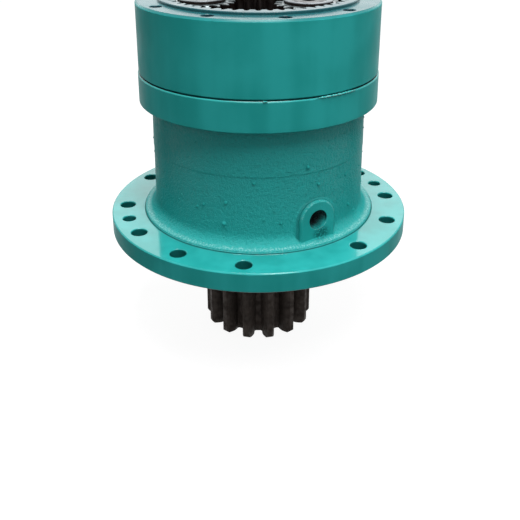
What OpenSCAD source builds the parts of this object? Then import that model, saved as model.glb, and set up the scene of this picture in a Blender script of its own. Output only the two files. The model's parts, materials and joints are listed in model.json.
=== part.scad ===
// Swing gear reducer of an excavator. Two planetary stages share one ring gear and drive a
// pinion shaft, which turns in two tapered roller bearings. The origin lies on the shaft's axis
// in the flange's mounting face, +Z points up to the input, and -Y is the flange's mirror line.
// Angles called turn are in degrees from -Y, counted towards +X.

/* [Flange] */
// Radius of the mounting flange
flange_r = 215; // [208:0.5:235]
// Thickness of the mounting flange
flange_t = 27; // [20:0.5:34]
// Distance of the hole circle from the flange's rim
flange_margin = 22; // [17:0.5:26]
// Radius of a mounting bolt hole
flange_bolt_r = 11; // [8:0.25:12]
// Radius of a locating dowel hole
flange_dowel_r = 9.25; // [6:0.25:10]
// Bevel at the mouth of a hole
hole_bevel = 0.8; // [0.4:0.1:1.2]
// Radius of the pilot under the flange
pilot_r = 150; // [142:0.5:160]
// Height of the pilot under the flange
pilot_h = 8; // [6:0.5:14]
// Bevel of the flange's edges
flange_bevel = 1.5; // [0.5:0.25:3]

/* [Housing] */
// Height of the round pad on the flange
pad_h = 3.5; // [2.5:0.5:7]
// Radius of the neck at its foot
neck_r = 150.5; // [146:0.5:156]
// Radius of the neck under the band
neck_top_r = 149.5; // [146:0.5:155]
// Height of the neck between pad and band
neck_h = 160.5; // [152:0.5:178]
// Height of the mould line above the pad
mould_line_h = 95.5; // [70:0.5:110]
// How far the upper mould half stands proud
mould_step = 0.5; // [0.3:0.1:1.5]
// Radius of the fillet between neck and pad
neck_fillet = 15.8; // [12:0.2:20]
// How far the band stands out past the ring gear
band_step = 1; // [0.5:0.25:3]
// Height of the band
band_h = 41; // [36:0.5:50]
// Bevel of the band's lower edge
band_bevel = 1; // [0.5:0.25:3]
// Radius of the fillet between neck and band
band_fillet = 5; // [2:0.5:8]
// Thickness of the centring spigot round the oil space
spigot_wall = 8; // [6:0.5:10]
// Depth of a tapped hole for a cover bolt
tapped_depth = 32; // [26:0.5:36]
// Radius of a tapped hole for a cover bolt
tapped_r = 7; // [6:0.1:7.5]

/* [Port boss] */
// Turn of the boss
port_turn = 11.6; // [5:0.2:16]
// Height of the port's centre above the pad
port_h = 30; // [24:0.5:42]
// Distance of the boss's face from the axis
port_face_r = 155.5; // [154:0.5:162]
// Radius of the boss at its face
port_boss_r = 27; // [24:0.5:32]
// Bevel of the boss's face
boss_bevel = 2; // [1:0.25:3]
// Width of the flare where the boss leaves the neck
boss_flare = 6; // [3:0.5:8]
// Length of the boss from its flare's edge to its face
boss_length = 9.5; // [9:0.5:12]
// How much the boss widens inwards, on each mm
boss_draft = 0.12; // [0.05:0.01:0.2]
// Radius of the tapped port
port_r = 13.2; // [10:0.1:15]
// Depth of the tapped length
port_depth = 24; // [18:0.5:30]
// Radius of the drilling behind it
port_drill_r = 9; // [6:0.25:9.5]

/* [Ring gear] */
// Distance of the spigot's wall from the ring gear's tooth roots
spigot_margin = 6.875; // [5:0.125:8]
// Distance of the register's edge from the spigot's wall
register_margin = 3; // [2:0.25:5]
// Distance of the cover bolt circle from the register's edge
cover_margin = 12.5; // [11:0.25:15]
// Distance of the ring gear's rim from the cover bolt circle
rim_margin = 16.5; // [14:0.25:20]
// Height of the ring gear's body
ring_h = 97; // [92:0.5:115]
// Height of the register on top
register_h = 4; // [2:0.5:6]
// Bevel of the ring gear's outer edges
ring_bevel = 2.8; // [1:0.1:4]
// Bevel of the ring gear's foot, which leaves a groove over the band
ring_foot_bevel = 2.4; // [1:0.1:4]
// Radius of a cover bolt hole
cover_hole_r = 8.2; // [7:0.1:8.8]
// Number of cover bolt holes
cover_holes = 10; // [8:1:12]
// Turn of the first cover bolt hole
cover_turn = -6.5; // [-18:0.5:18]
// Height of the centring spigot
spigot_h = 3.5; // [2:0.25:4.5]

/* [Gear train] */
// Module of both planetary stages
train_module = 4.5; // [4.3:0.05:4.6]
// Teeth of the ring gear
ring_teeth = 54; // [54:12:54]
// Teeth of both sun gears
sun_teeth = 18; // [18:12:18]
// Turn of the first planet of both stages
train_turn = 34.6; // [0:0.1:60]
// Face width of the upper stage's planets
upper_face = 22; // [18:0.5:26]
// Thickness of the upper carrier
upper_carrier_t = 13; // [11:0.5:16]
// Thickness of the lower carrier's cap
lower_cap_t = 12; // [10:0.5:14]
// Thickness of the lower carrier's plate
lower_plate_t = 26; // [22:0.5:30]
// Radius of the lower carrier's hub
hub_r = 76; // [70:0.5:84]
// Radius of an upper planet pin
upper_pin_r = 20; // [17:0.5:21]
// Radius of a lower planet pin
lower_pin_r = 22; // [19:0.5:23]
// Radius of a needle roller
needle_r = 2.85; // [2.5:0.05:3]
// Needle rollers in an upper planet
upper_needles = 22; // [16:1:22]
// Needle rollers in a lower planet
lower_needles = 24; // [18:1:24]
// Thickness of a planet's thrust washer
washer_t = 1.8; // [1.2:0.1:2.5]
// Thickness of the cap washer on an upper planet
cap_washer_t = 4.3; // [3.5:0.1:5]
// Height of the input sun above the register
input_h = 8; // [5:0.5:14]

/* [Pinion shaft] */
// Teeth of the pinion
pinion_teeth = 14; // [12:1:14]
// Module of the pinion
pinion_module = 10; // [9:0.25:10]
// Face width of the pinion
pinion_face = 115; // [95:1:125]
// Depth of the pinion's upper end under the flange
pinion_drop = 48; // [44:0.5:60]
// Bevel of the pinion's tooth ends
pinion_bevel = 3; // [1.5:0.25:5]
// Module of the carrier spline
spline_module = 4; // [3.75:0.05:4.05]
// Teeth of the carrier spline
spline_teeth = 24; // [22:1:24]

/* [Bearings] */
// Bore radius of the lower bearing
lower_bore_r = 60; // [57:0.5:62]
// Outer radius of the lower bearing
lower_outer_r = 107.5; // [105:0.5:110]
// Width of the lower bearing
lower_w = 48; // [45:0.5:50]
// Rollers in the lower bearing
lower_rollers_n = 18; // [14:1:18]
// Bore radius of the upper bearing
upper_bore_r = 55; // [53:0.5:57]
// Outer radius of the upper bearing
upper_outer_r = 100; // [97:0.5:103]
// Width of the upper bearing
upper_w = 46; // [43:0.5:50]
// Rollers in the upper bearing
upper_rollers_n = 18; // [14:1:18]
// Slope of a roller's axis to the shaft
roller_slope = 14; // [12:0.5:15]
// Radius of the bore between the two bearings
web_bore_r = 92; // [90:0.5:96]

/* [Seal] */
// Outer radius of the sleeve that the seal runs on
sleeve_r = 67; // [65:0.5:70]
// Outer radius of the shaft seal
seal_r = 82; // [79:0.5:86]
// Height of the shaft seal
seal_h = 12; // [10:0.5:13]
// Thickness of the seal retainer
retainer_t = 16; // [14:0.5:18]
// Distance of the retainer's bolt circle from the bearing's bore
retainer_wall = 16.5; // [16:0.5:19]
// Distance of the retainer's rim from its bolt circle
retainer_rim = 14; // [10:0.5:16]
// Bolts in the retainer
retainer_bolts_n = 8; // [6:1:12]

/* [Fits] */
// Gap between flat faces that turn on each other
face_gap = 0.2; // [0.15:0.05:0.3]
// Gap between a roller and its track
roll_gap = 0.15; // [0.1:0.01:0.2]
// Clearance of a piece seated in another
seat_gap = 0.03; // [0.01:0.01:0.05]
// Tooth thinning on each gear
tooth_slim = 0.2; // [0.15:0.01:0.25]

/* [Hidden] */
$fn = 96;
front = -90;
flank_steps = 4;
gear_press = 20;
spline_press = 30;

// Flange holes: each turn stands on both sides of the mirror line
flange_circle_r = flange_r - flange_margin;
bolt_turns = [24.2, 51.2, 76, 104, 135.5, 160];
dowel_turns = [90];

// Levels of the housing
pad_z = flange_t + pad_h;
pad_r = neck_r + neck_fillet;
pad_step = 1;
pad_slope = 2.2;
band_z = pad_z + neck_h;
seam_z = band_z + band_h;
ring_top_z = seam_z + ring_h;
register_z = ring_top_z + register_h;
port_z = pad_z + port_h;
boss_depth = 35;
boss_root_r = port_face_r - boss_depth;
boss_flare_r = port_face_r - boss_length;

// Radii of the planetary stages
planet_teeth = (ring_teeth - sun_teeth) / 2;
ring_pitch_r = train_module * ring_teeth / 2;
sun_pitch_r = train_module * sun_teeth / 2;
planet_pitch_r = train_module * planet_teeth / 2;
centre_r = sun_pitch_r + planet_pitch_r;
addendum = train_module;
dedendum = 1.25 * train_module;
root_round = 0.25 * train_module;
ring_tip_r = ring_pitch_r - 0.85 * train_module;
ring_root_r = ring_pitch_r + dedendum;
spigot_r = ring_root_r + spigot_margin;
sump_r = spigot_r - spigot_wall;
register_r = spigot_r + register_margin;
cover_circle_r = register_r + cover_margin;
ring_r = cover_circle_r + rim_margin;
band_r = ring_r + band_step;
planet_tip_r = planet_pitch_r + addendum;
planet_root_r = planet_pitch_r - dedendum;
sun_tip_r = sun_pitch_r + addendum;
sun_root_r = sun_pitch_r - dedendum;
sun_bevel_turn = planet_teeth % 2 == 0 ? 180 / sun_teeth : 0;
carrier_gap = 4.7;
carrier_rim_r = ring_tip_r - carrier_gap;
upper_planets = 3;
lower_planets = 4;

// Levels of the upper stage, counted down from the register
washer_top_z = register_z + 0.5;
upper_top_z = washer_top_z - cap_washer_t - face_gap;
upper_foot_z = upper_top_z - upper_face;
upper_carrier_z = upper_foot_z - washer_t - 2 * face_gap;
upper_carrier_foot_z = upper_carrier_z - upper_carrier_t;
stage_ring_t = 1.6;
lower_cap_z = upper_carrier_foot_z - stage_ring_t - 2 * face_gap;

// Levels of the lower stage
window_top_z = lower_cap_z - lower_cap_t;
window_foot_z = seam_z + 5;
lower_top_z = window_top_z - washer_t - 2 * face_gap;
lower_foot_z = window_foot_z + washer_t + 2 * face_gap;
plate_foot_z = window_foot_z - lower_plate_t;
pin_seat_z = plate_foot_z + 4;
end_plate_z = window_foot_z - 3;
end_plate_t = 10;
end_plate_r = spline_module * spline_teeth / 2 + 7.8;
shaft_end_z = end_plate_z - end_plate_t;
sun_washer_t = 3;
lower_sun_foot_z = end_plate_z + sun_washer_t + 2 * face_gap;
lower_sun_top_z = upper_carrier_z - 0.4;
sun_bore_r = 11;
input_washer_t = 2.5;
input_foot_z = lower_sun_top_z + input_washer_t + 2 * face_gap;
input_top_z = register_z + input_h;
washer_r = planet_root_r - 2.9;
lower_race_r = lower_pin_r + 2 * (needle_r + roll_gap);
upper_race_r = upper_pin_r + 2 * (needle_r + roll_gap);
clip_t = 1.6;
clip_groove_z = lower_sun_top_z - 0.7 - clip_t;
roll_pin_r = 4;
small_roll_pin_r = 3;
roll_hole_reach = 12;
roll_pin_reach = roll_hole_reach - 0.5;
scallop_r = 34;

// Levels of the shaft and its bearings
lower_bearing_z = -2;
bearing_drop = 82;
lower_shoulder_z = lower_bearing_z + lower_w;
upper_bearing_z = seam_z - bearing_drop;
upper_shoulder_z = upper_bearing_z - upper_w;
lock_washer_t = 2;
nut_z = upper_bearing_z + lock_washer_t;
nut_h = 14;
nut_r = 72;
nut_slot_h = 6;
nut_slot_w = 10;
thread_r = upper_bore_r - 1;
hub_foot_z = nut_z + nut_h + 2;
pinion_top_z = -pinion_drop;
pinion_foot_z = pinion_top_z - pinion_face;
pinion_pitch_r = pinion_module * pinion_teeth / 2;
pinion_tip_r = pinion_pitch_r + pinion_module;
pinion_root_r = pinion_pitch_r - 1.2 * pinion_module;
pinion_slim = -0.4;
pinion_turn = -18.75;
collar_z = pinion_top_z + 4;
collar_r = sleeve_r + 4;
spline_pitch_r = spline_module * spline_teeth / 2;
spline_tip_r = spline_pitch_r + spline_module / 2;
spline_root_r = spline_pitch_r - 0.7 * spline_module;
end_bolt_circle_r = 26;
end_bolt_r = 5.1;
end_bolt_head_r = 12;
end_bolt_l = 26;
end_bolt_tap = 30;
end_bolts_n = 3;

// Seal, retainer and rings between housing and ring gear
retainer_z = -pilot_h;
retainer_circle_r = lower_outer_r + retainer_wall;
retainer_r = retainer_circle_r + retainer_rim;
retainer_tap_z = 14;
retainer_spigot_h = 4.5;
seal_foot_z = retainer_z - retainer_t + 1.5;
retainer_bolt_r = 5;
retainer_tap_r = 4.25;
retainer_head_r = 8;
retainer_head_h = 8;
ring_section_r = 1.4;
face_groove_r = (spigot_r + cover_circle_r - cover_hole_r) / 2;
retainer_groove_r = lower_outer_r + 5;
ring_dowel_r = 5;
ring_dowel_h = 20;

// Input spline in the upper sun
input_module = 2.5;
input_teeth = 16;
input_pitch_r = input_module * input_teeth / 2;
input_minor_r = input_pitch_r - 0.5 * input_module;
input_major_r = input_pitch_r + 0.6 * input_module;

teal = [0.11, 0.5, 0.5];
steel = [0.62, 0.64, 0.65];
dark_steel = [0.3, 0.31, 0.32];
bronze = [0.66, 0.5, 0.28];
black = [0.08, 0.08, 0.09];
pinion_brown = [0.14, 0.11, 0.09];

// Point in polar form
function polar(r, a) = [r * cos(a), r * sin(a)];

// Involute function, in degrees
function involute(a) = tan(a) * 180 / PI - a;

// Half the angle that a tooth takes up at radius r
function half_tooth(r, n, pitch_r, press, slim) =
    90 / n - slim / pitch_r * 180 / PI + involute(press)
    - involute(acos(min(1, pitch_r * cos(press) / r)));

// Corners of one tooth round the angle c, from its left foot over the tip to its right foot
function tooth_points(c, n, pitch_r, root_r, tip_r, press, slim, foot) =
    let (low_r = max(pitch_r * cos(press), root_r + foot))
    let (low_half = half_tooth(low_r, n, pitch_r, press, slim))
    let (foot_half = low_half + foot / root_r * 180 / PI)
    let (radii = [for (i = [0:flank_steps]) low_r + (tip_r - low_r) * i / flank_steps])
    let (halves = [for (r = radii) half_tooth(r, n, pitch_r, press, slim)])
    let (rise = foot > 0 ? [polar(root_r, c - foot_half), polar(root_r + foot, c - low_half)] : [])
    let (fall = foot > 0 ? [polar(root_r + foot, c + low_half), polar(root_r, c + foot_half)] : [])
    concat(
        rise,
        low_r > root_r + foot || foot == 0 ? [polar(radii[0], c - halves[0])] : [],
        [for (i = [1:flank_steps]) polar(radii[i], c - halves[i])],
        [for (i = [flank_steps:-1:1]) polar(radii[i], c + halves[i])],
        low_r > root_r + foot || foot == 0 ? [polar(radii[0], c + halves[0])] : [],
        fall
    );

// Outline of a gear whose first tooth stands at the angle turn
module gear_outline(n, pitch_r, root_r, tip_r, press, slim, foot, turn) {
    polygon([
        for (k = [0:n - 1])
            each tooth_points(turn + k * 360 / n, n, pitch_r, root_r, tip_r, press, slim, foot)
    ]);
}

// Outline of a planet or a sun, first tooth at the angle turn
module train_outline(n, turn) {
    pitch_r = train_module * n / 2;
    gear_outline(n, pitch_r, pitch_r - dedendum, pitch_r + addendum, gear_press, tooth_slim,
        root_round, turn);
}

// Solid between two levels with bevelled rims, used to trim the ends of gears
module bevelled_drum(r, foot_z, top_z, bevel) {
    rotate_extrude() polygon([
        [0, foot_z], [r - bevel, foot_z], [r, foot_z + bevel],
        [r, top_z - bevel], [r - bevel, top_z], [0, top_z]
    ]);
}

module disc(r, foot_z, top_z) {
    translate([0, 0, foot_z]) cylinder(r = r, h = top_z - foot_z);
}

module washer(outer_r, inner_r, foot_z, top_z) {
    difference() {
        disc(outer_r, foot_z, top_z);
        disc(inner_r, foot_z - 1, top_z + 1);
    }
}

// Bevel round a hole whose mouth is at the level z and opens upwards
module hole_mouth(r, z) {
    translate([0, 0, z - hole_bevel])
        cylinder(r1 = r, r2 = r + hole_bevel + 0.2, h = hole_bevel + 0.2);
}

// Children at the radius r and the turn t
module at_turn(r, t) {
    rotate([0, 0, front + t]) translate([r, 0, 0]) children();
}

// Children n times round a circle
module around(n, r, t) {
    for (k = [0:n - 1]) at_turn(r, t + k * 360 / n) children();
}

// A drilling that points at the axis, from the radius from_r out to to_r
module radial_drilling(r, from_r, to_r, z) {
    translate([from_r, 0, z]) rotate([0, 90, 0]) cylinder(r = r, h = to_r - from_r);
}

// Housing

module housing_outside() {
    union() {
        polygon([
            [0, 0], [flange_r - flange_bevel, 0], [flange_r, flange_bevel],
            [flange_r, flange_t - flange_bevel], [flange_r - flange_bevel, flange_t], [0, flange_t]
        ]);
        polygon([
            [0, -pilot_h], [pilot_r - 2, -pilot_h], [pilot_r, 2 - pilot_h], [pilot_r, 1], [0, 1]
        ]);
        polygon([
            [0, flange_t - 1], [pad_r + pad_slope, flange_t - 1], [pad_r + pad_slope, flange_t],
            [pad_r, pad_z - pad_step], [pad_r, pad_z], [0, pad_z]
        ]);
        translate([neck_r - 5, pad_z]) difference() {
            square([neck_fillet + 5, neck_fillet]);
            translate([neck_fillet + 5, neck_fillet]) circle(r = neck_fillet);
        }
        polygon([
            [0, pad_z - 1], [neck_r, pad_z - 1], [neck_r - mould_step, pad_z + mould_line_h],
            [neck_r, pad_z + mould_line_h + 1], [neck_top_r, band_z + 1], [0, band_z + 1]
        ]);
        translate([neck_top_r - 1, band_z - band_fillet]) difference() {
            square([band_fillet + 1, band_fillet + 1]);
            translate([band_fillet + 1, 0]) circle(r = band_fillet);
        }
        polygon([
            [0, band_z], [band_r - band_bevel, band_z], [band_r, band_z + band_bevel],
            [band_r, seam_z - 1.5], [band_r - 1.5, seam_z], [0, seam_z]
        ]);
        polygon([
            [0, seam_z - 1], [spigot_r, seam_z - 1], [spigot_r, seam_z + spigot_h - 1],
            [spigot_r - 1, seam_z + spigot_h], [0, seam_z + spigot_h]
        ]);
    }
}

module housing_inside() {
    polygon([
        [0, -pilot_h - 1], [lower_outer_r + seat_gap, -pilot_h - 1],
        [lower_outer_r + seat_gap, lower_shoulder_z], [web_bore_r, lower_shoulder_z],
        [web_bore_r, upper_shoulder_z], [upper_outer_r + seat_gap, upper_shoulder_z],
        [upper_outer_r + seat_gap, upper_bearing_z + 4],
        [sump_r, upper_bearing_z + 4 + sump_r - upper_outer_r],
        [sump_r, seam_z + spigot_h + 1], [0, seam_z + spigot_h + 1]
    ]);
}

// Half the width of the boss at the radius r
function boss_half(r) = port_boss_r + boss_draft * (port_face_r - r);

// One long edge of the leg under the boss, from its root out to its face
function boss_side() = [
    [boss_root_r, boss_half(boss_root_r)], [boss_flare_r, boss_half(boss_flare_r)],
    [boss_flare_r, boss_half(boss_flare_r) + boss_flare],
    [boss_flare_r + boss_flare, boss_half(boss_flare_r + boss_flare)],
    [port_face_r - boss_bevel, port_boss_r], [port_face_r, port_boss_r - boss_bevel]
];

// Tombstone boss with drafted sides that runs down into the pad
module port_boss() {
    side = boss_side();
    rotate([0, 0, front + port_turn]) {
        for (k = [0, 2, 4]) translate([side[k][0], 0, port_z]) rotate([0, 90, 0])
            cylinder(r1 = side[k][1], r2 = side[k + 1][1], h = side[k + 1][0] - side[k][0]);
        translate([boss_flare_r, 0, port_z]) rotate([0, 90, 0])
            cylinder(r1 = boss_half(boss_flare_r), r2 = port_boss_r, h = boss_length - boss_bevel);
        translate([0, 0, flange_t]) linear_extrude(port_z - flange_t) polygon(concat(
            side, [for (k = [5:-1:0]) [side[k][0], -side[k][1]]]
        ));
    }
}

// Hole through the flange, cut on up so that it clears the pad of a smaller flange too
module flange_hole(r) {
    disc(r, -1, pad_z + neck_fillet / 2);
    hole_mouth(r, flange_t);
}

module housing() {
    color(teal) difference() {
        union() {
            rotate_extrude() housing_outside();
            port_boss();
        }
        rotate_extrude() housing_inside();
        for (t = bolt_turns, side = [-1, 1])
            at_turn(flange_circle_r, side * t) flange_hole(flange_bolt_r);
        for (t = dowel_turns, side = [-1, 1])
            at_turn(flange_circle_r, side * t) flange_hole(flange_dowel_r);
        around(cover_holes, cover_circle_r, cover_turn)
            disc(tapped_r, seam_z - tapped_depth, seam_z + 1);
        around(2, cover_circle_r, cover_turn + 180 / cover_holes)
            disc(ring_dowel_r + seat_gap, seam_z - ring_dowel_h / 2, seam_z + 1);
        washer(face_groove_r + 1.8, face_groove_r - 1.8, seam_z - 2 * ring_section_r - 0.1,
            seam_z + 1);
        around(retainer_bolts_n, retainer_circle_r, 0)
            disc(retainer_tap_r, -pilot_h - 1, retainer_tap_z);
        rotate([0, 0, front + port_turn]) {
            radial_drilling(port_r, port_face_r - port_depth, port_face_r + 20, port_z);
            radial_drilling(port_drill_r, web_bore_r - 6, port_face_r, port_z);
            translate([port_face_r, 0, port_z]) rotate([0, 90, 0]) hole_mouth(port_r, 0);
        }
    }
}

// Ring gear and what seats it

module ring_outside() {
    polygon([
        [0, seam_z], [ring_r - ring_foot_bevel, seam_z], [ring_r, seam_z + ring_foot_bevel],
        [ring_r, ring_top_z - ring_bevel], [ring_r - ring_bevel, ring_top_z],
        [register_r, ring_top_z],
        [register_r, register_z - 1], [register_r - 1, register_z], [0, register_z]
    ]);
}

module ring_gear() {
    color(teal) difference() {
        rotate_extrude() ring_outside();
        translate([0, 0, seam_z - 1]) linear_extrude(ring_h + register_h + 2)
            gear_outline(ring_teeth, ring_pitch_r, ring_tip_r, ring_root_r, gear_press,
                -tooth_slim, 0, front + train_turn);
        disc(spigot_r + seat_gap, seam_z - 1, seam_z + spigot_h + 0.5);
        translate([0, 0, register_z - 2]) cylinder(r1 = ring_tip_r, r2 = ring_tip_r + 3, h = 3);
        around(cover_holes, cover_circle_r, cover_turn) {
            disc(cover_hole_r, seam_z - 1, ring_top_z + 1);
            hole_mouth(cover_hole_r, ring_top_z);
        }
        around(2, cover_circle_r, cover_turn + 180 / cover_holes)
            disc(ring_dowel_r + seat_gap, seam_z - 1, seam_z + ring_dowel_h / 2);
    }
}

module ring_dowel_pins() {
    color(steel) around(2, cover_circle_r, cover_turn + 180 / cover_holes) bevelled_drum(
        ring_dowel_r, seam_z + face_gap - ring_dowel_h / 2, seam_z - face_gap + ring_dowel_h / 2, 1);
}

module ring_face_seal() {
    color(black) rotate_extrude() translate([face_groove_r, seam_z - ring_section_r - 0.05])
        circle(r = ring_section_r, $fn = 24);
}

// Tapered roller bearings. Each is drawn with its wide end at level 0 and the common point of
// its cones above it on the axis

function roller_mid_r(bore_r, outer_r) = (bore_r + outer_r) / 2;
function roller_r(bore_r, outer_r) = (outer_r - bore_r) * 0.242;
function roller_reach(bore_r, outer_r) = roller_mid_r(bore_r, outer_r) / sin(roller_slope);
function roller_cone(bore_r, outer_r) =
    atan(roller_r(bore_r, outer_r) / roller_reach(bore_r, outer_r));
function apex_z(bore_r, outer_r, w) = w / 2 + roller_reach(bore_r, outer_r) * cos(roller_slope);
function roller_l(w) = w - 14;

// Place in the section, s along a roller's axis from the common point and t away from the shaft
function section_point(apex, s, t) = [
    s * sin(roller_slope) + t * cos(roller_slope),
    apex - s * cos(roller_slope) + t * sin(roller_slope)
];

// Gap between a roller's wide end and the rib, which curves up towards the roller's rim
function rib_gap(bore_r, outer_r) = roll_gap + tan(roller_slope)
    * pow(roller_r(bore_r, outer_r), 2) / (2 * roller_mid_r(bore_r, outer_r));

module bearing_cone(bore_r, outer_r, w) {
    apex = apex_z(bore_r, outer_r, w);
    wide = roller_reach(bore_r, outer_r) + roller_l(w) / 2;
    narrow = wide - roller_l(w);
    taper = tan(roller_cone(bore_r, outer_r));
    wide_gap = rib_gap(bore_r, outer_r);
    wide_rib = section_point(apex, wide + wide_gap, -0.35 * wide * taper);
    narrow_rib = section_point(apex, narrow - roll_gap, -0.45 * narrow * taper);
    rotate_extrude() polygon([
        [bore_r + seat_gap, 0], [wide_rib[0], 0], wide_rib,
        section_point(apex, wide + wide_gap, -wide * taper - roll_gap),
        section_point(apex, narrow - roll_gap, -narrow * taper - roll_gap),
        narrow_rib, [narrow_rib[0], w - 3], [bore_r + seat_gap, w - 3]
    ]);
}

module bearing_cup(bore_r, outer_r, w) {
    apex = apex_z(bore_r, outer_r, w);
    slope = roller_slope + roller_cone(bore_r, outer_r);
    track_gap = roll_gap / cos(slope);
    rotate_extrude() polygon([
        [outer_r, 6], [outer_r, w], [(apex - w) * tan(slope) + track_gap, w],
        [(apex - 6) * tan(slope) + track_gap, 6]
    ]);
}

// The rollers, grown by the given amount when they are used to cut the cage's pockets
module rollers(bore_r, outer_r, w, n, grow) {
    l = roller_l(w) + 2 * grow;
    narrow = roller_reach(bore_r, outer_r) - l / 2;
    taper = tan(roller_cone(bore_r, outer_r));
    for (k = [0:n - 1])
        rotate([0, 0, front + k * 360 / n]) translate([0, 0, apex_z(bore_r, outer_r, w)])
            rotate([0, 180 - roller_slope, 0]) translate([0, 0, narrow])
                cylinder(r1 = narrow * taper + grow, r2 = (narrow + l) * taper + grow, h = l);
}

module bearing_cage(bore_r, outer_r, w, n) {
    apex = apex_z(bore_r, outer_r, w);
    mid = roller_reach(bore_r, outer_r);
    half_l = roller_l(w) / 2 + 4;
    half_t = 1.3;
    difference() {
        rotate_extrude() polygon([
            section_point(apex, mid - half_l, -half_t), section_point(apex, mid + half_l, -half_t),
            section_point(apex, mid + half_l, half_t), section_point(apex, mid - half_l, half_t)
        ]);
        rollers(bore_r, outer_r, w, n, 0.3);
    }
}

module at_lower_bearing() {
    translate([0, 0, lower_bearing_z]) children();
}

module at_upper_bearing() {
    translate([0, 0, upper_bearing_z]) mirror([0, 0, 1]) children();
}

module lower_bearing_cup() {
    color(steel) at_lower_bearing() bearing_cup(lower_bore_r, lower_outer_r, lower_w);
}

module lower_bearing_cone() {
    color(steel) at_lower_bearing() bearing_cone(lower_bore_r, lower_outer_r, lower_w);
}

module lower_bearing_cage() {
    color(bronze) at_lower_bearing()
        bearing_cage(lower_bore_r, lower_outer_r, lower_w, lower_rollers_n);
}

module lower_bearing_rollers() {
    color(steel) at_lower_bearing()
        rollers(lower_bore_r, lower_outer_r, lower_w, lower_rollers_n, 0);
}

module upper_bearing_cup() {
    color(steel) at_upper_bearing() bearing_cup(upper_bore_r, upper_outer_r, upper_w);
}

module upper_bearing_cone() {
    color(steel) at_upper_bearing() bearing_cone(upper_bore_r, upper_outer_r, upper_w);
}

module upper_bearing_cage() {
    color(bronze) at_upper_bearing()
        bearing_cage(upper_bore_r, upper_outer_r, upper_w, upper_rollers_n);
}

module upper_bearing_rollers() {
    color(steel) at_upper_bearing()
        rollers(upper_bore_r, upper_outer_r, upper_w, upper_rollers_n, 0);
}

// Seal and its retainer

module seal_retainer() {
    foot_z = retainer_z - retainer_t;
    spigot_z = retainer_z + retainer_spigot_h;
    color(dark_steel) difference() {
        rotate_extrude() polygon([
            [seal_r + seat_gap, foot_z], [retainer_r - 2, foot_z], [retainer_r, foot_z + 2],
            [retainer_r, retainer_z], [lower_outer_r - seat_gap, retainer_z],
            [lower_outer_r - seat_gap, spigot_z], [seal_r - 5, spigot_z],
            [seal_r - 5, seal_foot_z + seal_h], [seal_r + seat_gap, seal_foot_z + seal_h]
        ]);
        around(retainer_bolts_n, retainer_circle_r, 0)
            disc(retainer_bolt_r + 0.5, foot_z - 1, retainer_z + 1);
        washer(retainer_groove_r + 1.8, retainer_groove_r - 1.8,
            retainer_z - 2 * ring_section_r - 0.1, retainer_z + 1);
    }
}

module retainer_face_seal() {
    color(black) rotate_extrude() translate([retainer_groove_r, retainer_z - ring_section_r - 0.05])
        circle(r = ring_section_r, $fn = 24);
}

module retainer_bolts() {
    head_z = retainer_z - retainer_t;
    color(dark_steel) around(retainer_bolts_n, retainer_circle_r, 0) difference() {
        union() {
            bevelled_drum(retainer_head_r, head_z - retainer_head_h, head_z, 0.8);
            disc(retainer_tap_r - seat_gap, head_z - 1, retainer_tap_z - 2);
        }
        translate([0, 0, head_z - retainer_head_h - 1]) cylinder(r = 4.6, h = 5, $fn = 6);
    }
}

module shaft_seal() {
    lip_r = sleeve_r + 0.1;
    color(black) rotate_extrude() polygon([
        [seal_r, seal_foot_z], [seal_r, seal_foot_z + seal_h], [seal_r - 10, seal_foot_z + seal_h],
        [seal_r - 10, seal_foot_z + seal_h - 1.5], [seal_r - 3, seal_foot_z + seal_h - 2.5],
        [seal_r - 3, seal_foot_z + 3], [lip_r + 3, seal_foot_z + 3.5],
        [lip_r + 3.5, seal_foot_z + seal_h - 4], [lip_r + 1.2, seal_foot_z + seal_h - 4],
        [lip_r, seal_foot_z + seal_h - 6], [lip_r + 1, seal_foot_z + 2],
        [lip_r, seal_foot_z + 0.8], [lip_r + 1, seal_foot_z]
    ]);
}

module seal_garter_spring() {
    color(steel) rotate_extrude() translate([sleeve_r + 4.9, seal_foot_z + seal_h - 5])
        circle(r = 1.1, $fn = 24);
}

// Shaft and what turns with it

module pinion_shaft() {
    color(pinion_brown) difference() {
        union() {
            intersection() {
                translate([0, 0, pinion_foot_z]) linear_extrude(pinion_face)
                    gear_outline(pinion_teeth, pinion_pitch_r, pinion_root_r, pinion_tip_r,
                        gear_press, pinion_slim, 0.18 * pinion_module,
                        front + 180 / pinion_teeth + pinion_turn);
                bevelled_drum(pinion_tip_r, pinion_foot_z, pinion_top_z, pinion_bevel);
            }
            rotate_extrude() polygon([
                [0, pinion_foot_z + 1], [pinion_root_r - 1, pinion_foot_z + 1],
                [pinion_root_r - 1, pinion_top_z - 6], [collar_r, pinion_top_z],
                [collar_r, collar_z], [lower_bore_r, collar_z], [lower_bore_r, lower_shoulder_z + 2],
                [upper_bore_r, upper_shoulder_z - 4], [upper_bore_r, upper_bearing_z],
                [thread_r, upper_bearing_z], [thread_r, hub_foot_z - 1.5],
                [spline_root_r, hub_foot_z], [spline_root_r, shaft_end_z - 2],
                [spline_root_r - 2, shaft_end_z], [0, shaft_end_z]
            ]);
            intersection() {
                translate([0, 0, hub_foot_z - 1]) linear_extrude(shaft_end_z - hub_foot_z + 0.5)
                    gear_outline(spline_teeth, spline_pitch_r, spline_root_r, spline_tip_r,
                        spline_press, 0, 0, front);
                bevelled_drum(spline_tip_r + 1, hub_foot_z - 2, shaft_end_z - 0.5, 2.5);
            }
        }
        around(end_bolts_n, end_bolt_circle_r, 0) disc(end_bolt_r + seat_gap, shaft_end_z - end_bolt_tap,
            shaft_end_z + 1);
        disc(6, pinion_foot_z - 1, pinion_foot_z + 18);
        translate([0, 0, pinion_foot_z - 0.1]) cylinder(r1 = 12, r2 = 6, h = 9);
        disc(5, shaft_end_z - 14, shaft_end_z + 1);
    }
}

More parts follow.
